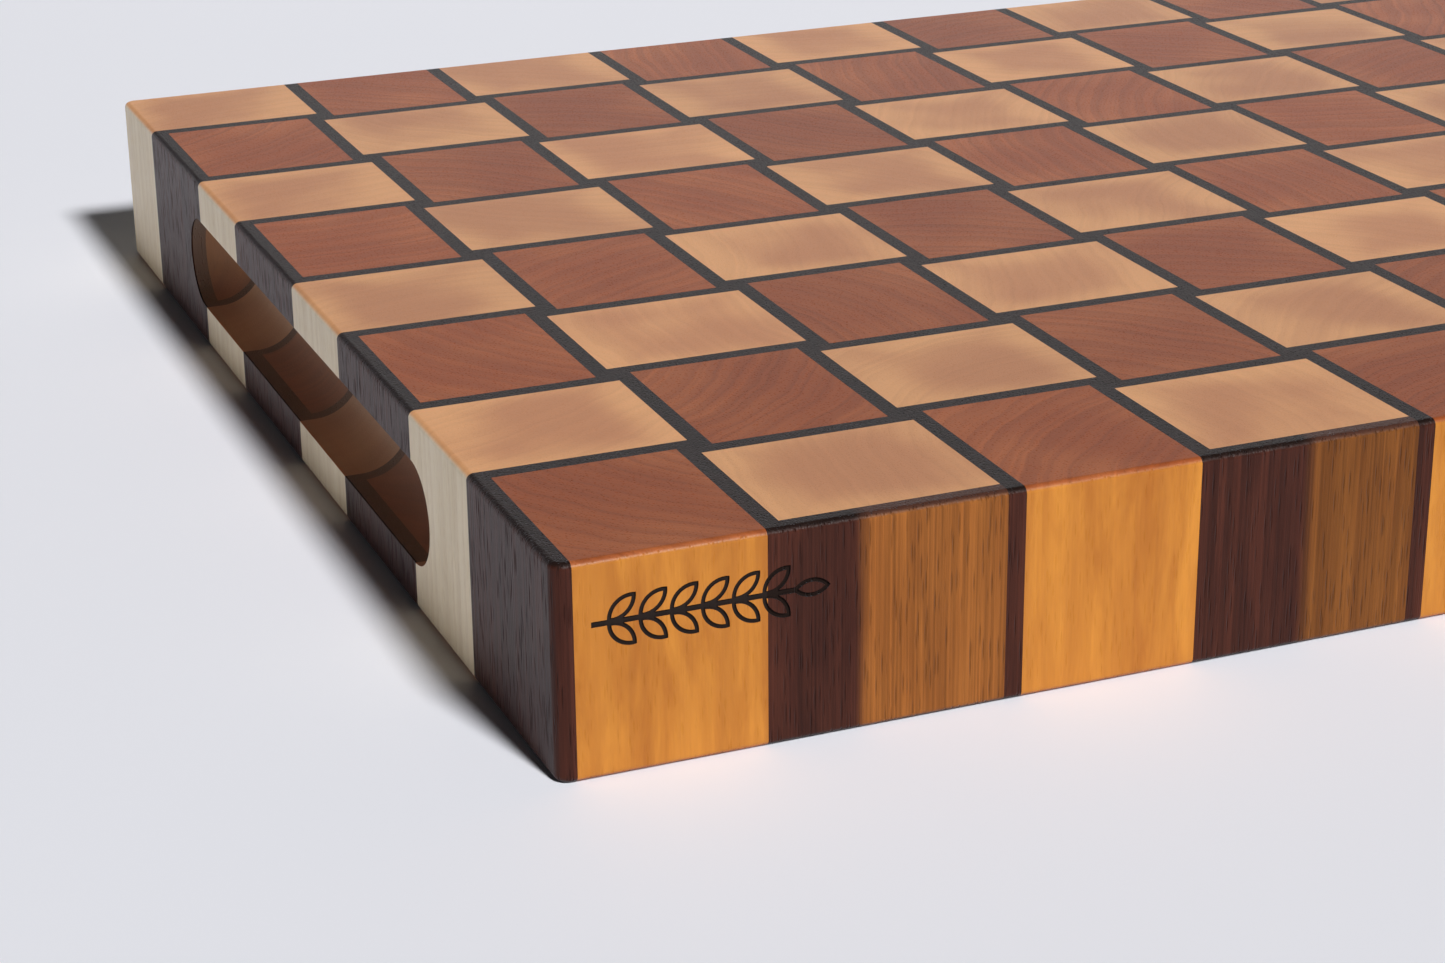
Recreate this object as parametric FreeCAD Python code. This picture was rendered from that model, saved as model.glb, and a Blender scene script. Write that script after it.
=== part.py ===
"""End-grain cutting board: a chequered block of cherry and maple squares.

Every square stands on end, so its grain runs straight up. A cherry square has a walnut strip glued
to its left and right sides, and a maple square has one glued to its front and back, so the strips
of neighbouring squares make a broken walnut net. The glued-up block is cut to length, planed at the
back, rounded over, grooved for the fingers at both ends and marked on the front.

The origin is at the middle of the bottom face: +X runs along the board, +Y to the back, +Z up.
"""

import FreeCAD, Part
import math
import os

from FreeCAD import Vector

# Driving dimensions, in millimetres and degrees.
LENGTH = 457.2
DEPTH = 300.0
THICKNESS = 36.6
COLUMNS = 12
ROWS = 8
BACK_TRIM = 4.8            # planed off the back after gluing, with the last row's outer strips
STRIP = 3.175              # thickness of the walnut strips

CORNER_RADIUS = 2.4        # the four upright corners
EDGE_RADIUS = 1.2          # all round the top and the bottom

GRIP_LENGTH = 173.0        # finger groove, from round end to round end
GRIP_CUTTER = 19.05        # diameter of the round-nosed cutter, so the groove's height
GRIP_DEPTH = 12.7

MARK_START = 6.0           # from the left end to the root of the burned sprig's stem
MARK_HEIGHT = 26.0         # of the stem above the bottom face
MARK_LENGTH = 39.5
MARK_DEPTH = 0.4
MARK_STROKE = 0.95
LEAF_PAIRS = 6
LEAF_LENGTH = 6.4
LEAF_WIDTH = 3.2
LEAF_ANGLE = 42.0          # between a leaf and the stem

# What follows from them.
LEFT = -LENGTH / 2
RIGHT = LENGTH / 2
FRONT = -DEPTH / 2
BACK = DEPTH / 2
COLUMN_PITCH = LENGTH / COLUMNS
ROW_PITCH = (DEPTH + BACK_TRIM) / ROWS
MID_HEIGHT = THICKNESS / 2
CUTTER_RADIUS = GRIP_CUTTER / 2
TOOL_RUNOUT = 2.0          # how far a cutting tool's solid stands out of the wood


def cuboid(x_low, x_high, y_low, y_high):
    """Return a full-height block of wood between two x and two y positions."""
    size = (x_high - x_low, y_high - y_low, THICKNESS)
    return Part.makeBox(*size, Vector(x_low, y_low, 0))


def rounded_slab():
    """Return the board's outer shape: upright corners first, then the top and bottom edges."""
    slab = cuboid(LEFT, RIGHT, FRONT, BACK)
    upright = [edge for edge in slab.Edges if edge.BoundBox.ZLength > THICKNESS / 2]
    slab = slab.makeFillet(CORNER_RADIUS, upright)
    level = [edge for edge in slab.Edges if edge.BoundBox.ZLength < THICKNESS / 2]
    return slab.makeFillet(EDGE_RADIUS, level)


def grip_tool():
    """Return the space that the round-nosed cutter clears at the left end.

    The cutter's section, a bar with a half-round nose, is carried along the straight of the groove
    and turned half way round at each of its ends.
    """
    straight = GRIP_LENGTH - GRIP_CUTTER
    mouth = LEFT - TOOL_RUNOUT
    nose = LEFT + GRIP_DEPTH - CUTTER_RADIUS

    def section(y, z_low):
        """Return the cutter's section at y, from z_low up to the top of the groove."""
        top = MID_HEIGHT + CUTTER_RADIUS
        upper = Vector(nose, y, top)
        tip = Vector(nose + CUTTER_RADIUS, y, MID_HEIGHT)
        lower = Vector(nose, y, z_low)
        if z_low < MID_HEIGHT:
            rounded = [Part.Arc(upper, tip, lower).toShape()]
        else:
            slant = CUTTER_RADIUS * math.sqrt(0.5)
            half_way = Vector(nose + slant, y, MID_HEIGHT + slant)
            rounded = [Part.Arc(upper, half_way, tip).toShape(), Part.makeLine(tip, lower)]
        outside = [Vector(mouth, y, z_low), Vector(mouth, y, top)]
        sides = [Part.makeLine(lower, outside[0]), Part.makeLine(*outside), Part.makeLine(outside[1], upper)]
        return Part.Face(Part.Wire(rounded + sides))

    body = section(-straight / 2, MID_HEIGHT - CUTTER_RADIUS).extrude(Vector(0, straight, 0))
    ends = []
    for side in (-1, 1):
        y = side * straight / 2
        pivot = Vector(LEFT, y, MID_HEIGHT)
        ends.append(section(y, MID_HEIGHT).revolve(pivot, Vector(-side, 0, 0), 180))
    return body.multiFuse(ends).removeSplitter()


def leaf_blank(length, width):
    """Return a pointed oval of two arcs, rooted at the origin along +X, cut to the mark's depth."""
    root = Vector(0, 0, 0)
    tip = Vector(length, 0, 0)
    upper = Part.Arc(root, Vector(length / 2, 0, width / 2), tip).toShape()
    lower = Part.Arc(tip, Vector(length / 2, 0, -width / 2), root).toShape()
    face = Part.Face(Part.Wire([upper, lower]))
    return face.extrude(Vector(0, MARK_DEPTH + TOOL_RUNOUT, 0))


def leaf_outline():
    """Return one leaf's outline, a stroke wide, rooted at the origin along +X."""
    inner = leaf_blank(LEAF_LENGTH - 2 * MARK_STROKE, LEAF_WIDTH - 1.5 * MARK_STROKE)
    inner.translate(Vector(MARK_STROKE, 0, 0))
    return leaf_blank(LEAF_LENGTH, LEAF_WIDTH).cut(inner)


def mark_tool():
    """Return the burned sprig: a straight stem with paired leaves and one leaf at its tip."""
    surface = FRONT - TOOL_RUNOUT
    root = Vector(LEFT + MARK_START, surface, MARK_HEIGHT)
    stem_length = MARK_LENGTH - LEAF_LENGTH
    stem = Part.makeBox(stem_length + MARK_STROKE / 2, MARK_DEPTH + TOOL_RUNOUT, MARK_STROKE)
    stem.translate(root + Vector(0, 0, -MARK_STROKE / 2))
    leaves = []
    for pair in range(LEAF_PAIRS + 1):
        place = root + Vector(stem_length * (pair + 0.5) / (LEAF_PAIRS + 0.5), 0, 0)
        angles = (LEAF_ANGLE, -LEAF_ANGLE) if pair < LEAF_PAIRS else (0,)
        for angle in angles:
            leaf = leaf_outline()
            leaf.rotate(Vector(0, 0, 0), Vector(0, 1, 0), angle)
            leaf.translate(place)
            leaves.append(leaf)
    return stem.multiFuse(leaves)


def finished_outline():
    """Return the whole board's shape as one solid, which each outer piece is trimmed to."""
    left_grip = grip_tool()
    right_grip = left_grip.mirror(Vector(0, 0, 0), Vector(1, 0, 0))
    return rounded_slab().cut([left_grip, right_grip, mark_tool()])


def trimmed(box, outline):
    """Return the solids left of a piece once the glued block has been shaped."""
    bounds = box.BoundBox
    reach = max(abs(bounds.XMin), abs(bounds.XMax))
    inside_ends = reach < RIGHT - GRIP_DEPTH
    inside_sides = bounds.YMin > FRONT + CORNER_RADIUS and bounds.YMax < BACK - CORNER_RADIUS
    if inside_ends and inside_sides:
        return [box]
    return box.common(outline).Solids


def cherry_square(x, y):
    """Return the boxes of the cherry square whose front left corner is at x, y, by kind."""
    x_end = x + COLUMN_PITCH
    y_end = min(y + ROW_PITCH, BACK)
    return {
        "walnut_left_strips": cuboid(x, x + STRIP, y, y_end),
        "cherry_blocks": cuboid(x + STRIP, x_end - STRIP, y, y_end),
        "walnut_right_strips": cuboid(x_end - STRIP, x_end, y, y_end),
    }


def maple_square(x, y):
    """Return the boxes of the maple square whose front left corner is at x, y, by kind.

    At the back of the board the plane has taken the outer strip and the core's last shaving.
    """
    x_end = x + COLUMN_PITCH
    core_end = min(y + ROW_PITCH - STRIP, BACK)
    boxes = {
        "walnut_front_strips": cuboid(x, x_end, y, y + STRIP),
        "maple_blocks": cuboid(x, x_end, y + STRIP, core_end),
    }
    if y + ROW_PITCH <= BACK:
        boxes["walnut_back_strips"] = cuboid(x, x_end, core_end, y + ROW_PITCH)
    return boxes


def reaches_grip(box):
    """Return which end's finger groove cuts into a box: "left", "right" or None."""
    bounds = box.BoundBox
    if bounds.YMin >= GRIP_LENGTH / 2 or bounds.YMax <= -GRIP_LENGTH / 2:
        return None
    if bounds.XMin < LEFT + GRIP_DEPTH:
        return "left"
    if bounds.XMax > RIGHT - GRIP_DEPTH:
        return "right"
    return None


def build_nodes():
    """Return every node's solids: one node per row and kind, and one per groove and kind."""
    outline = finished_outline()
    nodes = {}
    for row in range(ROWS):
        for column in range(COLUMNS):
            square = cherry_square if (row + column) % 2 == 0 else maple_square
            boxes = square(LEFT + column * COLUMN_PITCH, FRONT + row * ROW_PITCH)
            for kind, box in boxes.items():
                end = reaches_grip(box)
                name = f"{end}_grip_{kind}" if end else f"row_{row + 1}_{kind}"
                nodes.setdefault(name, []).extend(trimmed(box, outline))
    return nodes


def main():
    """Build the board and write one STEP file per node."""
    os.makedirs("parts", exist_ok=True)
    volume = 0.0
    count = 0
    for name, solids in sorted(build_nodes().items()):
        Part.makeCompound(solids).exportStep(f"parts/{name}.step")
        volume += sum(solid.Volume for solid in solids)
        count += len(solids)
    print(f"{count} solids, {volume / 1000:.1f} cm3")


main()
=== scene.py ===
"""End-grain chequered cutting board: its oiled wood finishes, the studio around it and the camera.

The board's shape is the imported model's own: every stick of wood is a CAD node that stays as it is and
gets a wood finish worked out in three dimensions, so that the growth rings on the cutting face, the
fibres on the sides and the wood inside the finger grooves belong to the same stick.
"""

import logging
import math
from dataclasses import dataclass
from enum import Enum

import bpy
import numpy as np
from mathutils import Matrix, Vector


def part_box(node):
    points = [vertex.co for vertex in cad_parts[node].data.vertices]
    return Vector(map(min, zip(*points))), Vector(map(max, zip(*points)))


LOG = logging.getLogger("cutting_board")
MM = 0.001

# How a stick of wood is drawn. Lengths are in millimetres. A rate says how many steps of a noise fall
# on a millimetre, along X, Y and Z where it has three values, with the fewest along the stick. Limits
# are the two ends of a step from one look to another.
LOOKUP_DEPTH = 0.5                  # under the surface, where a point's square is looked up
ONE_STICK = 1e6                     # higher than any board, so that a stick is one cell all the way up
SEED_OFFSET = (0.31, 0.57)          # added to a stick's column and row before its values are drawn
PITH_NEAREST = 45.0                 # from the middle of a stick to the pith of its tree
PITH_RANGE = 75.0                   # how much further off than that the pith may be
RING_SHIFT = 40.0                   # how far two sticks' ring patterns may lie apart
RING_BEND = 6.0                     # how far a ring strays from its circle
BEND_RATE = (0.06, 0.06, 0.008)
YEAR_RATE = 0.6                     # steps on a year: how often wide and narrow years take turns
YEAR_SPREAD = 1.6                   # how much their widths differ
LATE_RISE = (0.1, 0.85)             # shares of a year between which the late wood darkens
LATE_FALL = (0.86, 1.0)             # and between which it ends
LINE_RATE = 1.1                     # of the fine lines along the rings
FIBRE_SHIFT = 90.0                  # how far two sticks' fibre patterns may lie apart
STREAK_RATE = (0.17, 0.17, 0.028)
STREAK_LIMITS = (0.33, 0.67)
PORE_LIMITS = (0.10, 0.36)          # from a pore's middle, as shares of the pores' spacing
OIL_SHIFT = 55.0                    # how far two sticks' oil blotches may lie apart
OIL_RATE = (0.045, 0.045, 0.03)
OIL_LIMITS = (0.08, 0.62)
RIM_LIMITS = (7.0, 19.0)            # from a square's middle, out to its glue lines
END_LIMITS = (0.25, 0.85)           # upward lean of a surface, from side grain to end grain
SIDE_LINES = 0.25                   # share of the fine lines that is left on the side grain

# Where the sapwood lies, as shares of a square's width, and how light it is. Each has a swing that
# changes from column to column.
SAP_START = 0.40
SAP_START_SWING = -0.06
SAP_LIMITS = (-0.02, 0.07)          # the soft line between heartwood and sapwood
SAP_WANDER = 0.05                   # how far that line strays
SAP_RATE = (0.5, 0.5, 0.03)         # of its straying
SAP_LIGHT = 0.78
SAP_LIGHT_SWING = 0.17

Colour = tuple[float, float, float, float]
Socket = bpy.types.NodeSocket


def srgb(code: str) -> Colour:
    """Turn an sRGB hex value into the linear colour that a shader socket takes.

    Args:
        code: Six hex digits, with or without a leading #.

    Returns:
        Linear red, green and blue, with an alpha of 1.
    """
    levels = (int(code.lstrip("#")[i : i + 2], 16) / 255 for i in (0, 2, 4))
    linear = (v / 12.92 if v <= 0.04045 else ((v + 0.055) / 1.055) ** 2.4 for v in levels)
    return (*linear, 1.0)


def add(tree: bpy.types.NodeTree, kind: str, inputs: dict | tuple = (), out: int | str | None = 0,
        **settings: object) -> Socket | None:
    """Add a shader node with its settings and its links.

    Args:
        tree: The node tree to add to.
        kind: The node's type, without the leading ShaderNode.
        inputs: Values or sockets by input name or number, or a tuple in the order of the inputs.
        out: The output to return, by name or number, or None for a node that has none.
        **settings: Properties of the node itself, such as operation="MULTIPLY".

    Returns:
        The chosen output socket of the new node.
    """
    node = tree.nodes.new(f"ShaderNode{kind}")
    for name, value in settings.items():
        setattr(node, name, value)
    pairs = inputs.items() if isinstance(inputs, dict) else enumerate(inputs)
    for key, value in pairs:
        if isinstance(value, Socket):
            tree.links.new(value, node.inputs[key])
        else:
            node.inputs[key].default_value = value
    return None if out is None else node.outputs[out]


class Cut(Enum):
    """How a walnut strip was sawn, which says whether it shows pale sapwood."""

    HEARTWOOD = "heartwood"
    WITH_SAPWOOD = "with_sapwood"


@dataclass(frozen=True)
class Layout:
    """Where the squares lie, in millimetres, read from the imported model.

    Attributes:
        low: The board's lowest corner.
        high: The board's highest corner.
        pitch: A square's size along X and along Y.
    """

    low: Vector
    high: Vector
    pitch: tuple[float, float]

    @classmethod
    def from_frame(cls) -> "Layout":
        """Measure the board's squares on the CAD nodes' boxes.

        Returns:
            The layout of the board's squares.
        """
        boxes = [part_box(name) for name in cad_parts]
        corners = np.array(boxes) / MM
        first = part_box("row_1_walnut_left_strips")[0]
        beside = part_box("row_1_walnut_front_strips")[0]
        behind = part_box("row_2_walnut_front_strips")[0]
        pitch = ((beside.x - first.x) / MM, (behind.y - beside.y) / MM)
        return cls(Vector(corners[:, 0].min(axis=0)), Vector(corners[:, 1].max(axis=0)), pitch)


@dataclass(frozen=True)
class Mark:
    """The box that holds the burned sprig's sunk surfaces, in millimetres from the front left corner.

    The box starts just behind the front face, so the face round the sprig isn't burned.

    Attributes:
        low: Its lowest corner.
        high: Its highest corner.
        char: Colour of the charred wood.
        rough: Roughness of the charred wood, which has lost its wax and shines no more.
    """

    low: tuple[float, float, float] = (4.5, 0.06, 18.0)
    high: tuple[float, float, float] = (47.0, 0.6, 34.0)
    char: str = "1C120E"
    rough: float = 0.85


@dataclass(frozen=True)
class Hollow:
    """The box that holds both finger grooves' routed surfaces, in millimetres.

    A round-nosed cutter leaves short torn fibres that stay matt. Inside the box the wood's colour is also
    mixed toward a pale tone. This is partly the routed wood's own duller colour and partly painted sheen: a
    milky veil that stands in for the grazing reflection and bounced light inside the grooves.

    Attributes:
        low: Its lowest corner.
        high: Its highest corner.
        sheen_haze: Colour of the pale veil, partly the routed wood's duller colour and partly painted sheen.
        sheen_haze_share: How much of the wood's colour the painted sheen replaces, from 0 to 1.
        rough: Roughness of the torn fibres.
        inset: How far the box lies inside the board's own.
    """

    low: Vector
    high: Vector
    sheen_haze: str = "B89E8A"
    sheen_haze_share: float = 0.48
    rough: float = 0.62
    inset: tuple[float, float, float] = (0.3, 20.0, 8.0)

    @classmethod
    def from_layout(cls, layout: Layout) -> "Hollow":
        """Put the box a little inside the board's ends, over the grooves' height."""
        return cls(layout.low + Vector(cls.inset), layout.high - Vector(cls.inset))


@dataclass(frozen=True)
class Wood:
    """One species, planed, sanded and soaked in mineral oil and wax, as a solid three-dimensional grain.

    The growth rings are cylinders round a pith that lies outside the stick, each with its own pith.
    End grain drinks more oil than side grain, so it is darker and duller.

    Attributes:
        name: The material's name.
        end: Two tones of the end grain, and the tone of a ring's late wood there.
        side: Two tones of the side grain, and the tone of the late wood there.
        ring: Width of a year's growth in millimetres.
        ring_strength: How strongly the late wood shows on the end and on the side, from 0 to 1.
        fibre: Width and length of a fibre bundle in millimetres.
        pore: Spacing across and length of the open pores in millimetres.
        pore_strength: How dark the pores are on the end and on the side, from 0 to 1.
        tone: How far one stick's brightness differs from the next one's.
        rough: Roughness of the end grain and of the side grain.
        fibre_contrast: How much the fibres show on the end and on the side.
        line_contrast: How much the fine lines along the rings show.
        rim: How much paler the end grain is near the glue lines.
        relief: Height of the raised fibres in millimetres.
        gloss: Specular level of the oil and wax.
        bloom: How strongly the wax veils the wood where it is seen at a low angle, from 0 to 1.
        ior: Index of refraction of mineral oil.
        wax_rough: Roughness of the wax's veil.
        wax_tint: Colour of the wax's veil.
        fibre_rough: How much a raised fibre adds to the roughness.
        pore_rough: Roughness inside a pore.
        pore_depth: Depth of a pore, as a multiple of the relief.
        sap_end: Tone of the sapwood's end grain.
        sap_side: Two tones of the sapwood's side grain, and the tone of its late wood.
    """

    name: str
    end: tuple[str, str, str]
    side: tuple[str, str, str]
    ring: float
    ring_strength: tuple[float, float]
    fibre: tuple[float, float]
    pore: tuple[float, float]
    pore_strength: tuple[float, float]
    tone: float
    rough: tuple[float, float]
    fibre_contrast: tuple[float, float]
    line_contrast: float
    rim: float
    relief: float = 0.03
    gloss: float = 0.28
    bloom: float = 0.10
    ior: float = 1.47
    wax_rough: float = 0.35
    wax_tint: str = "E6EAF4"
    fibre_rough: float = 0.2
    pore_rough: float = 0.95
    pore_depth: float = 1.2
    sap_end: str = "4A2E24"
    sap_side: tuple[str, str, str] = ("965C29", "864F22", "6A3C1A")

    def material(self, layout: Layout, cut: Cut = Cut.HEARTWOOD, mark: Mark | None = None,
                 hollow: Hollow | None = None) -> bpy.types.Material:
        """Build the finish.

        Args:
            layout: The board's squares, which tell one stick from the next.
            cut: Whether the strip shows sapwood.
            mark: The burned zone, for wood that carries it.
            hollow: The routed finger groove, for wood that it cuts into.

        Returns:
            The new material.
        """
        words = [self.name, "" if cut is Cut.HEARTWOOD else cut.value, "burned" if mark else "",
                 "routed" if hollow else ""]
        made = bpy.data.materials.new("_".join(filter(None, words)))
        made.use_nodes = True
        tree = made.node_tree
        tree.nodes.clear()
        position = add(tree, "TexCoord", out="Object")
        facing = add(tree, "TexCoord", out="Normal")
        place = add(tree, "VectorMath", {0: position, "Scale": 1 / MM}, operation="SCALE")

        stick = self._stick(tree, layout, place, facing)
        late, line = self._rings(tree, stick)
        fibre, streak, pore = self._fibres(tree, place, stick)
        on_end = self._end_share(tree, facing)
        blotch = self._blotch(tree, stick)

        end = self._tint(tree, self.end, blotch, late, self.ring_strength[0])
        side = self._tint(tree, self.side, streak, late, self.ring_strength[1])
        if cut is Cut.WITH_SAPWOOD:
            sap, sap_light = self._sapwood(tree, stick, place)
            pale_side = self._tint(tree, self.sap_side, streak, late, self.ring_strength[1])
            pale_side = add(tree, "VectorMath", {0: pale_side, "Scale": sap_light}, operation="SCALE")
            end = add(tree, "Mix", {0: sap, 6: end, 7: srgb(self.sap_end)}, 2, data_type="RGBA")
            side = add(tree, "Mix", {0: sap, 6: side, 7: pale_side}, 2, data_type="RGBA")
        colour = add(tree, "Mix", {0: on_end, 6: side, 7: end}, 2, data_type="RGBA")
        colour = self._vary(tree, colour, stick, fibre, line, pore, on_end)

        rough = add(tree, "Mix", {0: on_end, 2: self.rough[1], 3: self.rough[0]})
        rough = add(tree, "Math", (fibre, self.fibre_rough, rough), operation="MULTIPLY_ADD")
        rough = add(tree, "Mix", {0: pore, 2: rough, 3: self.pore_rough})
        if mark:
            low, high = (layout.low + Vector(corner) for corner in (mark.low, mark.high))
            burned = self._within(tree, place, low, high)
            colour = add(tree, "Mix", {0: burned, 6: colour, 7: srgb(mark.char)}, 2, data_type="RGBA")
            rough = add(tree, "Mix", {0: burned, 2: rough, 3: mark.rough})
        if hollow:
            inside = self._within(tree, place, hollow.low, hollow.high)
            # Painted sheen: the groove wood is mixed toward a pale tone that stands in for grazing
            # reflection and bounced light, together with the routed wood's duller colour.
            painted_sheen = add(tree, "Math", (inside, hollow.sheen_haze_share), operation="MULTIPLY")
            colour = add(tree, "Mix", {0: painted_sheen, 6: colour, 7: srgb(hollow.sheen_haze)}, 2, data_type="RGBA")
            rough = add(tree, "Mix", {0: inside, 2: rough, 3: hollow.rough})

        relief = add(tree, "Math", (pore, -self.pore_depth, fibre), operation="MULTIPLY_ADD")
        bump = add(tree, "Bump", {"Strength": 1.0, "Distance": self.relief * MM, "Height": relief})
        shader = add(tree, "BsdfPrincipled", {"Base Color": colour, "Roughness": rough, "Normal": bump,
                                              "IOR": self.ior, "Specular IOR Level": self.gloss,
                                              "Sheen Weight": self.bloom,
                                              "Sheen Roughness": self.wax_rough,
                                              "Sheen Tint": srgb(self.wax_tint)})
        add(tree, "OutputMaterial", {"Surface": shader}, None)
        return made

    def _stick(self, tree: bpy.types.NodeTree, layout: Layout, place: Socket, facing: Socket) -> dict:
        """Find which square a point lies in, and its place there.

        The square is looked up a little under the surface, because a point on the board's outer faces
        lies on the edge between a square and nothing.

        Args:
            tree: The material's node tree.
            layout: The board's squares.
            place: The point, in millimetres.
            facing: The surface's direction there.

        Returns:
            Sockets by name: the square's column and row as "cell", how far across it the point lies
            as "share", three random values of the stick as "random", and the point's place in
            millimetres from the middle of the square as "local".
        """
        inward = (-LOOKUP_DEPTH,) * 3
        inside = add(tree, "VectorMath", (facing, inward, place), operation="MULTIPLY_ADD")
        corner = (*layout.low.xy, 0.0)
        pitch = (*layout.pitch, ONE_STICK)
        from_corner = add(tree, "VectorMath", (inside, corner), operation="SUBTRACT")
        squares = add(tree, "VectorMath", (from_corner, pitch), operation="DIVIDE")
        cell = add(tree, "VectorMath", (squares,), operation="FLOOR")
        share = add(tree, "VectorMath", (squares,), operation="FRACTION")
        own_seed = (*SEED_OFFSET, float(len(self.name)))
        seed = add(tree, "VectorMath", (cell, own_seed), operation="ADD")
        chance = add(tree, "TexWhiteNoise", (seed,), "Color", noise_dimensions="3D")
        random = add(tree, "SeparateXYZ", (chance,)).node.outputs
        middle = add(tree, "VectorMath", (cell, pitch, corner), operation="MULTIPLY_ADD")
        local = add(tree, "VectorMath", (place, middle), operation="SUBTRACT")
        half = (layout.pitch[0] / 2, layout.pitch[1] / 2, 0.0)
        local = add(tree, "VectorMath", (local, half), operation="SUBTRACT")
        return {"cell": cell, "share": share, "random": random, "local": local}

    def _rings(self, tree: bpy.types.NodeTree, stick: dict) -> tuple[Socket, Socket]:
        """Work out the growth rings and the fine lines that run along them.

        The rings are circles round a pith at a random bearing and distance, bent by a slow noise that
        hardly changes along the stick. A year is the distance from the pith over a ring's width.

        Args:
            tree: The material's node tree.
            stick: What _stick found.

        Returns:
            The late wood, 1 on the dark line that ends each year's ring and 0 in the early wood, and
            the fine lines, around 0.
        """
        turn, far, offset = stick["random"]
        bearing = add(tree, "Math", (turn, math.tau), operation="MULTIPLY")
        distance = add(tree, "Math", (far, PITH_RANGE, PITH_NEAREST), operation="MULTIPLY_ADD")
        cosine = add(tree, "Math", (bearing,), operation="COSINE")
        x = add(tree, "Math", (cosine, distance), operation="MULTIPLY")
        sine = add(tree, "Math", (bearing,), operation="SINE")
        y = add(tree, "Math", (sine, distance), operation="MULTIPLY")
        pith = add(tree, "CombineXYZ", (x, y, 0.0))
        shift = add(tree, "Math", (offset, RING_SHIFT), operation="MULTIPLY")
        stretched = add(tree, "VectorMath", (stick["local"], BEND_RATE), operation="MULTIPLY")
        bend = add(tree, "TexNoise", {"Vector": stretched, "W": shift, "Scale": 1.0, "Detail": 2.0},
                   "Color", noise_dimensions="4D")
        sway = (RING_BEND, RING_BEND, 0.0)
        bent = add(tree, "VectorMath", (bend, sway, stick["local"]), operation="MULTIPLY_ADD")
        flat = add(tree, "VectorMath", (bent, (1.0, 1.0, 0.0)), operation="MULTIPLY")
        radius = add(tree, "VectorMath", (flat, pith), "Value", operation="DISTANCE")
        years = add(tree, "Math", (radius, 1 / self.ring, shift), operation="MULTIPLY_ADD")
        uneven = add(tree, "TexNoise", {"W": years, "Scale": YEAR_RATE, "Detail": 1.0},
                     noise_dimensions="1D")
        years = add(tree, "Math", (uneven, YEAR_SPREAD, years), operation="MULTIPLY_ADD")
        season = add(tree, "Math", (years,), operation="FRACT")
        rise = add(tree, "MapRange", (season, *LATE_RISE, 0.0, 1.0), interpolation_type="SMOOTHSTEP")
        fall = add(tree, "MapRange", (season, *LATE_FALL, 1.0, 0.0), interpolation_type="SMOOTHSTEP")
        late = add(tree, "Math", (rise, fall), operation="MULTIPLY")
        fine = add(tree, "TexNoise", {"W": radius, "Scale": LINE_RATE, "Detail": 3.0, "Roughness": 0.6},
                   noise_dimensions="1D")
        return late, add(tree, "Math", (fine, 0.5), operation="SUBTRACT")

    def _fibres(self, tree: bpy.types.NodeTree, place: Socket,
                stick: dict) -> tuple[Socket, Socket, Socket]:
        """Work out fine fibres, broad streaks and open pores, all drawn out along the stick.

        Args:
            tree: The material's node tree.
            place: The point, in millimetres.
            stick: What _stick found.

        Returns:
            The fibres, around 0; the streaks, from 0 to 1; and the pores, 1 inside a pore.
        """
        shift = add(tree, "Math", (stick["random"][2], FIBRE_SHIFT), operation="MULTIPLY")
        wide, long = self.fibre
        thin = add(tree, "VectorMath", (place, (1 / wide, 1 / wide, 1 / long)), operation="MULTIPLY")
        grain = add(tree, "TexNoise", {"Vector": thin, "W": shift, "Scale": 1.0, "Detail": 3.0,
                                       "Roughness": 0.6}, noise_dimensions="4D")
        fibre = add(tree, "Math", (grain, 0.5), operation="SUBTRACT")
        broad = add(tree, "VectorMath", (place, STREAK_RATE), operation="MULTIPLY")
        wash = add(tree, "TexNoise", {"Vector": broad, "W": shift, "Scale": 1.0, "Detail": 4.0,
                                      "Roughness": 0.6, "Distortion": 0.7}, noise_dimensions="4D")
        streak = add(tree, "MapRange", (wash, *STREAK_LIMITS, 0.0, 1.0))
        apart, run = self.pore
        holes = add(tree, "VectorMath", (place, (1 / apart, 1 / apart, 1 / run)), operation="MULTIPLY")
        nearest = add(tree, "TexVoronoi", {"Vector": holes, "Scale": 1.0}, "Distance")
        pore = add(tree, "MapRange", (nearest, *PORE_LIMITS, 1.0, 0.0), interpolation_type="SMOOTHSTEP")
        return fibre, streak, pore

    def _blotch(self, tree: bpy.types.NodeTree, stick: dict) -> Socket:
        """Work out how deep the oil went into the end grain: less near the glue lines, so paler there.

        Args:
            tree: The material's node tree.
            stick: What _stick found.

        Returns:
            The depth, from 0 where the oil hardly went in to 1.
        """
        shift = add(tree, "Math", (stick["random"][0], OIL_SHIFT), operation="MULTIPLY")
        slow = add(tree, "VectorMath", (stick["local"], OIL_RATE), operation="MULTIPLY")
        wash = add(tree, "TexNoise", {"Vector": slow, "W": shift, "Scale": 1.0, "Detail": 1.0,
                                      "Roughness": 0.4}, noise_dimensions="4D")
        from_middle = add(tree, "VectorMath", (stick["local"],), operation="ABSOLUTE")
        x, y, _ = add(tree, "SeparateXYZ", (from_middle,)).node.outputs
        reach = add(tree, "Math", (x, y), operation="MAXIMUM")
        rim = add(tree, "MapRange", (reach, *RIM_LIMITS, 0.0, self.rim), interpolation_type="SMOOTHSTEP")
        deep = add(tree, "Math", (wash, rim), operation="SUBTRACT")
        return add(tree, "MapRange", (deep, *OIL_LIMITS, 0.0, 1.0), interpolation_type="SMOOTHSTEP")

    def _end_share(self, tree: bpy.types.NodeTree, facing: Socket) -> Socket:
        """Work out how far the surface cuts across the fibres.

        Args:
            tree: The material's node tree.
            facing: The surface's direction.

        Returns:
            1 on the end grain, 0 on the side grain, and between them on the rounded edges.
        """
        up = add(tree, "SeparateXYZ", (facing,), "Z")
        slope = add(tree, "Math", (up,), operation="ABSOLUTE")
        return add(tree, "MapRange", (slope, *END_LIMITS, 0.0, 1.0), interpolation_type="SMOOTHSTEP")

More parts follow.
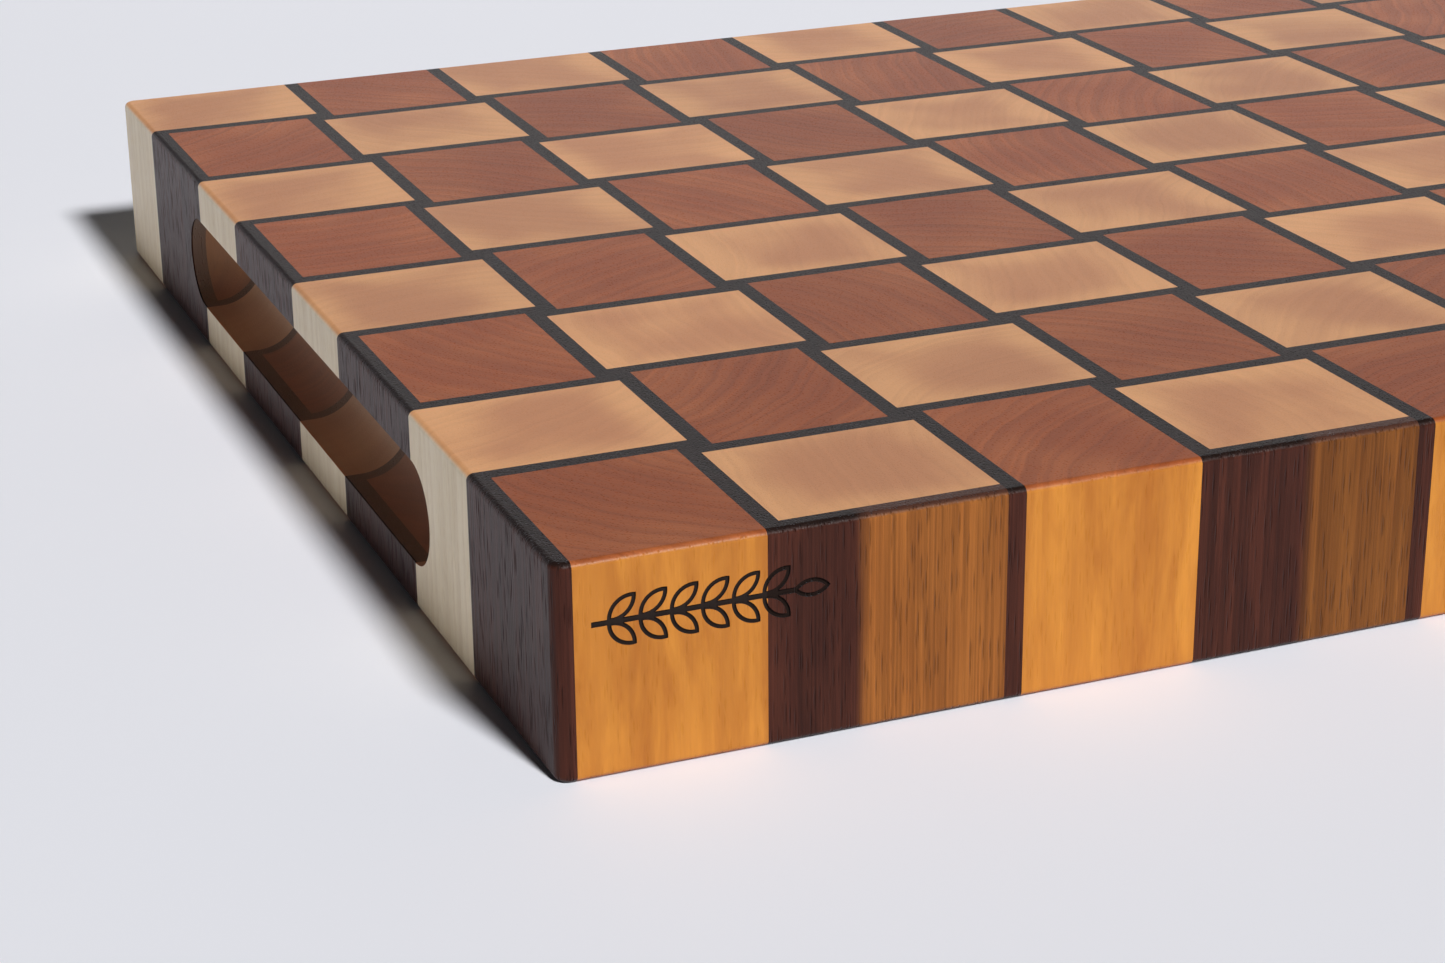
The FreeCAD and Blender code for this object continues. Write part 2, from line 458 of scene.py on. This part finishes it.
    def _tint(self, tree: bpy.types.NodeTree, tones: tuple[str, str, str], streak: Socket, late: Socket,
              strength: float) -> Socket:
        """Blend two tones by the streaks, then the late wood's tone by the rings.

        Args:
            tree: The material's node tree.
            tones: Two tones of the ground, and the late wood's.
            streak: The share of the second tone.
            late: The late wood, from 0 to 1.
            strength: How strongly the late wood shows.

        Returns:
            The colour.
        """
        ground = add(tree, "Mix", {0: streak, 6: srgb(tones[0]), 7: srgb(tones[1])}, 2, data_type="RGBA")
        share = add(tree, "Math", (late, strength), operation="MULTIPLY")
        return add(tree, "Mix", {0: share, 6: ground, 7: srgb(tones[2])}, 2, data_type="RGBA")

    def _vary(self, tree: bpy.types.NodeTree, colour: Socket, stick: dict, fibre: Socket, line: Socket,
              pore: Socket, on_end: Socket) -> Socket:
        """Darken the pores, mottle the fibres and give each stick its own brightness.

        Args:
            tree: The material's node tree.
            colour: The wood's colour so far.
            stick: What _stick found.
            fibre: The fibres, around 0.
            line: The fine lines along the rings, around 0.
            pore: The pores, from 0 to 1.
            on_end: 1 on the end grain and 0 on the side grain.

        Returns:
            The colour, lighter or darker.
        """
        darkest = 1 - self.tone / 2
        own = add(tree, "Math", (stick["random"][1], self.tone, darkest), operation="MULTIPLY_ADD")
        speck = add(tree, "Mix", {0: on_end, 2: self.fibre_contrast[1], 3: self.fibre_contrast[0]})
        mottled = add(tree, "Math", (fibre, speck, own), operation="MULTIPLY_ADD")
        ringed = add(tree, "Mix", {0: on_end, 2: SIDE_LINES * self.line_contrast, 3: self.line_contrast})
        mottled = add(tree, "Math", (line, ringed, mottled), operation="MULTIPLY_ADD")
        depth = add(tree, "Mix", {0: on_end, 2: self.pore_strength[1], 3: self.pore_strength[0]})
        hole = add(tree, "Math", (pore, depth), operation="MULTIPLY")
        light = add(tree, "Math", (1.0, hole), operation="SUBTRACT")
        light = add(tree, "Math", (light, mottled), operation="MULTIPLY")
        return add(tree, "VectorMath", {0: colour, "Scale": light}, operation="SCALE")

    def _sapwood(self, tree: bpy.types.NodeTree, stick: dict, place: Socket) -> tuple[Socket, Socket]:
        """Work out the pale sapwood: it starts a third to a half across the square, at a soft line.

        Args:
            tree: The material's node tree.
            stick: What _stick found.
            place: The point, in millimetres.

        Returns:
            The share of sapwood, from 0 to 1, and how light the sapwood is.
        """
        column = add(tree, "SeparateXYZ", (stick["cell"],), "X")
        turn = add(tree, "Math", (column, math.pi / 2), operation="MULTIPLY")
        wave = add(tree, "Math", (turn,), operation="SINE")
        start = add(tree, "Math", (wave, SAP_START_SWING, SAP_START), operation="MULTIPLY_ADD")
        stretched = add(tree, "VectorMath", (place, SAP_RATE), operation="MULTIPLY")
        wander = add(tree, "TexNoise", {"Vector": stretched, "Scale": 1.0, "Detail": 3.0})
        share = add(tree, "SeparateXYZ", (stick["share"],), "X")
        share = add(tree, "Math", (wander, SAP_WANDER, share), operation="MULTIPLY_ADD")
        past = add(tree, "Math", (share, start), operation="SUBTRACT")
        sap = add(tree, "MapRange", (past, *SAP_LIMITS, 0.0, 1.0), interpolation_type="SMOOTHSTEP")
        return sap, add(tree, "Math", (wave, SAP_LIGHT_SWING, SAP_LIGHT), operation="MULTIPLY_ADD")

    def _within(self, tree: bpy.types.NodeTree, place: Socket, low: Vector, high: Vector) -> Socket:
        """Tell whether a point lies in a box.

        Args:
            tree: The material's node tree.
            place: The point, in millimetres.
            low: The box's lowest corner.
            high: The box's highest corner.

        Returns:
            1 inside the box and 0 outside it.
        """
        over = add(tree, "VectorMath", (place, tuple(low)), operation="SUBTRACT")
        under = add(tree, "VectorMath", (tuple(high), place), operation="SUBTRACT")
        slack = add(tree, "VectorMath", (over, under), operation="MINIMUM")
        x, y, z = add(tree, "SeparateXYZ", (slack,)).node.outputs
        least = add(tree, "Math", (y, z), operation="MINIMUM")
        least = add(tree, "Math", (x, least), operation="MINIMUM")
        return add(tree, "Math", (least, 0.0), operation="GREATER_THAN")


# Black cherry, planed, sanded and oiled. The eye gets a warm red brown on the end grain, with clear
# rings and a fine silky grain, and a glowing orange brown on the sides, with a satin sheen.
CHERRY = Wood(
    name="oiled_cherry",
    end=("AB6136", "954B25", "6C3119"),
    side=("C4802F", "A2601E", "88491A"),
    ring=4.2,
    ring_strength=(0.30, 0.16),
    fibre=(0.35, 9.0),
    pore=(0.6, 5.0),
    pore_strength=(0.06, 0.05),
    tone=0.18,
    rough=(0.44, 0.36),
    fibre_contrast=(0.50, 0.20),
    line_contrast=0.44,
    rim=0.10,
)
# Hard maple, planed, sanded and oiled. Its pores are closed and its rings faint, so the eye gets a
# smooth honey-coloured end grain, paler along the glue lines, and cream-coloured sides.
MAPLE = Wood(
    name="oiled_hard_maple",
    end=("DEA26F", "C0835B", "A06A44"),
    side=("F8E5C4", "ECD7B2", "D4B58A"),
    ring=4.0,
    ring_strength=(0.10, 0.22),
    fibre=(0.3, 7.0),
    pore=(0.4, 4.0),
    pore_strength=(0.03, 0.05),
    tone=0.12,
    rough=(0.44, 0.36),
    fibre_contrast=(0.25, 0.15),
    line_contrast=0.10,
    rim=0.30,
    bloom=0.13,
)
# Black walnut, planed, sanded and oiled. Its open pores drink the oil, so the eye gets an almost black
# end grain and chocolate brown sides with long dark streaks. Its sapwood is a pale golden brown.
WALNUT = Wood(
    name="oiled_black_walnut",
    end=("2A1B17", "211512", "170F0C"),
    side=("4C271C", "381B14", "22100C"),
    ring=3.0,
    ring_strength=(0.5, 0.45),
    fibre=(0.36, 45.0),
    pore=(0.55, 8.0),
    pore_strength=(0.20, 0.20),
    tone=0.16,
    rough=(0.42, 0.36),
    fibre_contrast=(0.3, 1.4),
    line_contrast=0.20,
    rim=0.0,
    relief=0.12,
    gloss=0.12,
    bloom=0.12,
)


@dataclass(frozen=True)
class Board:
    """The board's own nodes and the finish that each one takes.

    Attributes:
        layout: The board's squares.
        marked: The nodes that the burned sprig crosses.
        pale: The nodes whose strips show sapwood.
    """

    layout: Layout
    marked: tuple[str, ...] = (
        "row_1_cherry_blocks",
        "row_1_walnut_right_strips",
        "row_1_walnut_front_strips",
    )
    pale: tuple[str, ...] = ("row_1_walnut_front_strips",)

    def dress(self) -> None:
        """Give every CAD node its wood, one material for each finish in use."""
        woods = {"cherry": CHERRY, "maple": MAPLE, "walnut": WALNUT}
        hollow = Hollow.from_layout(self.layout)
        made: dict[tuple[str, bool, bool, bool], bpy.types.Material] = {}
        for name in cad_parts:
            slot = next(word for word in woods if word in name)
            key = (slot, name in self.pale, name in self.marked, "grip" in name)
            if key not in made:
                cut = Cut.WITH_SAPWOOD if key[1] else Cut.HEARTWOOD
                made[key] = woods[slot].material(self.layout, cut, Mark() if key[2] else None,
                                                 hollow if key[3] else None)
            node = bpy.data.objects[name]
            for holder in node.material_slots:
                holder.material = made[key]
            LOG.info("%s: %s", name, made[key].name)


@dataclass(frozen=True)
class FarLamp:
    """A large lamp so far off that its light is the same all over the floor.

    Attributes:
        name: The lamp's name.
        toward: The direction from the board to the lamp.
        strength: Irradiance on a face turned to it, in watts per square metre.
        breadth: The angle that it fills, in degrees.
    """

    name: str
    toward: tuple[float, float, float]
    strength: float
    breadth: float

    def build(self) -> None:
        """Make the lamp."""
        light = bpy.data.lights.new(self.name, "SUN")
        light.energy = self.strength
        light.angle = math.radians(self.breadth)
        lamp = bpy.data.objects.new(self.name, light)
        lamp.matrix_world = Vector(self.toward).to_track_quat("Z", "Y").to_matrix().to_4x4()
        bpy.context.scene.collection.objects.link(lamp)


@dataclass(frozen=True)
class Softbox:
    """A rectangular lamp with a cloth front, in metres and watts.

    Attributes:
        name: The lamp's name.
        at: Its middle.
        aim: The point it faces.
        size: Its width and height.
        power: Its radiant power.
    """

    name: str
    at: tuple[float, float, float]
    aim: tuple[float, float, float]
    size: tuple[float, float]
    power: float

    def build(self) -> None:
        """Make the lamp, out of sight of the camera."""
        light = bpy.data.lights.new(self.name, "AREA")
        light.shape = "RECTANGLE"
        light.size, light.size_y = self.size
        light.energy = self.power
        lamp = bpy.data.objects.new(self.name, light)
        facing = (Vector(self.aim) - Vector(self.at)).to_track_quat("-Z", "Y")
        lamp.matrix_world = Matrix.LocRotScale(Vector(self.at), facing, None)
        lamp.visible_camera = False
        bpy.context.scene.collection.objects.link(lamp)


@dataclass(frozen=True)
class Studio:
    """A pale seamless floor, a broad key lamp high in front and weak softboxes at the left and behind.

    Attributes:
        floor_size: The floor's side, in metres.
        floor_gap: How far it lies under the board, so that the two surfaces aren't one.
        floor_lines: How many grid lines it has each way.
        paint: Colour of the floor's matt white paint, which gives the eye a plain ground without gloss.
        paint_rough: Roughness of that paint.
        lamps: The lamps.
        sky: Colour of the surroundings.
        horizon: Their strength at and below eye level, where they close the view.
        overhead: Their strength above that, so that they hardly soften the shadows.
        band: Upward lean of a line of sight at which their strength starts to fall, and has fallen.
    """

    floor_size: float = 40.0
    floor_gap: float = 0.0001
    floor_lines: int = 9
    paint: str = "F0F1F8"
    paint_rough: float = 0.7
    lamps: tuple[FarLamp | Softbox, ...] = (
        FarLamp("key_lamp", (0.20, -1.09, 1.0), 3.95, 9.0),
        Softbox("low_left_softbox", (-2.0, 0.5, 0.24), (-0.2, 0.0, 0.02), (0.8, 0.3), 1.0),
        Softbox("back_softbox", (0.9, 1.7, 0.42), (0.0, 0.0, 0.0), (1.8, 0.6), 4.0),
    )
    sky: str = "F4F4F8"
    horizon: float = 0.75
    overhead: float = 0.01
    band: tuple[float, float] = (0.06, 0.16)

    def build(self) -> None:
        """Make the floor, the lamps and the pale surroundings, which light the board only faintly."""
        self._floor()
        for lamp in self.lamps:
            lamp.build()
        world = bpy.data.worlds.new("pale_surroundings")
        world.use_nodes = True
        tree = world.node_tree
        tree.nodes.clear()
        height = add(tree, "SeparateXYZ", (add(tree, "TexCoord", out="Generated"),), "Z")
        strength = add(tree, "MapRange", (height, *self.band, self.horizon, self.overhead),
                       interpolation_type="SMOOTHSTEP")
        sky = add(tree, "Background", (srgb(self.sky), strength))
        add(tree, "OutputWorld", {"Surface": sky}, None)
        bpy.context.scene.world = world
        bpy.context.scene.view_settings.view_transform = "Standard"

    def _floor(self) -> None:
        """Make the floor: a flat grid just under z = 0, over x and y from minus to plus half its side."""
        steps = np.linspace(-self.floor_size / 2, self.floor_size / 2, self.floor_lines)
        x, y = np.meshgrid(steps, steps)
        points = np.stack([x, y, np.full_like(x, -self.floor_gap)], axis=-1).reshape(-1, 3)
        index = np.arange(x.size).reshape(x.shape)
        faces = np.stack([index[:-1, :-1], index[:-1, 1:], index[1:, 1:], index[1:, :-1]], axis=-1)
        mesh = bpy.data.meshes.new("pale_floor")
        mesh.from_pydata(points.tolist(), [], faces.reshape(-1, 4).tolist())
        floor = bpy.data.objects.new("pale_floor", mesh)
        bpy.context.scene.collection.objects.link(floor)
        paint = bpy.data.materials.new("matt_white_paint")
        paint.use_nodes = True
        tree = paint.node_tree
        tree.nodes.clear()
        shader = add(tree, "BsdfPrincipled", {"Base Color": srgb(self.paint), "Roughness": self.paint_rough})
        add(tree, "OutputMaterial", {"Surface": shader}, None)
        mesh.materials.append(paint)


@dataclass(frozen=True)
class Viewpoint:
    """A long lens low in front of the board's near left corner.

    Attributes:
        from_corner: The lens's place in millimetres from the board's bottom front left corner.
        bearing: Which way it looks, in degrees to the right of straight back.
        dip: How far it looks down, in degrees.
        roll: How far it is turned about its own axis, in degrees.
        lens: Focal length, in millimetres.
        sensor: Width of the sensor, in millimetres.
        clip: The nearest thing that it shows, in metres.
    """

    from_corner: tuple[float, float, float] = (-135.6, -403.1, 217.8)
    bearing: float = 22.04
    dip: float = 21.57
    roll: float = -0.605
    lens: float = 77.36
    sensor: float = 36.0
    clip: float = 0.01

    def build(self, layout: Layout) -> None:
        """Make the camera and set it as the scene's own.

        Args:
            layout: The board's squares, which give the corner that the camera is placed from.
        """
        settings = bpy.data.cameras.new("long_lens")
        settings.sensor_width = self.sensor
        settings.lens = self.lens
        settings.clip_start = self.clip
        camera = bpy.data.objects.new("long_lens", settings)
        tilt = Matrix.Rotation(math.radians(90.0 - self.dip), 4, "X")
        turn = Matrix.Rotation(math.radians(-self.bearing), 4, "Z")
        twist = Matrix.Rotation(math.radians(self.roll), 4, "Z")
        place = Matrix.Translation((layout.low + Vector(self.from_corner)) * MM)
        camera.matrix_world = place @ turn @ tilt @ twist
        bpy.context.scene.collection.objects.link(camera)
        bpy.context.scene.camera = camera


def main() -> None:
    """Dress the board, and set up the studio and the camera."""
    logging.basicConfig(level=logging.INFO, format="%(name)s: %(message)s")
    layout = Layout.from_frame()
    Board(layout).dress()
    Studio().build()
    Viewpoint().build(layout)


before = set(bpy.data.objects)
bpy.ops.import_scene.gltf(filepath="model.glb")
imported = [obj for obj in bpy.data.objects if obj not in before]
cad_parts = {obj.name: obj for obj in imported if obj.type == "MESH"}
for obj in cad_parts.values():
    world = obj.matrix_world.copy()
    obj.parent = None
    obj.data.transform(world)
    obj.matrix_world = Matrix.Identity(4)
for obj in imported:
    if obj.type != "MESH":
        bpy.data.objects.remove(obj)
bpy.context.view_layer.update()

if __name__ == "__main__":
    main()
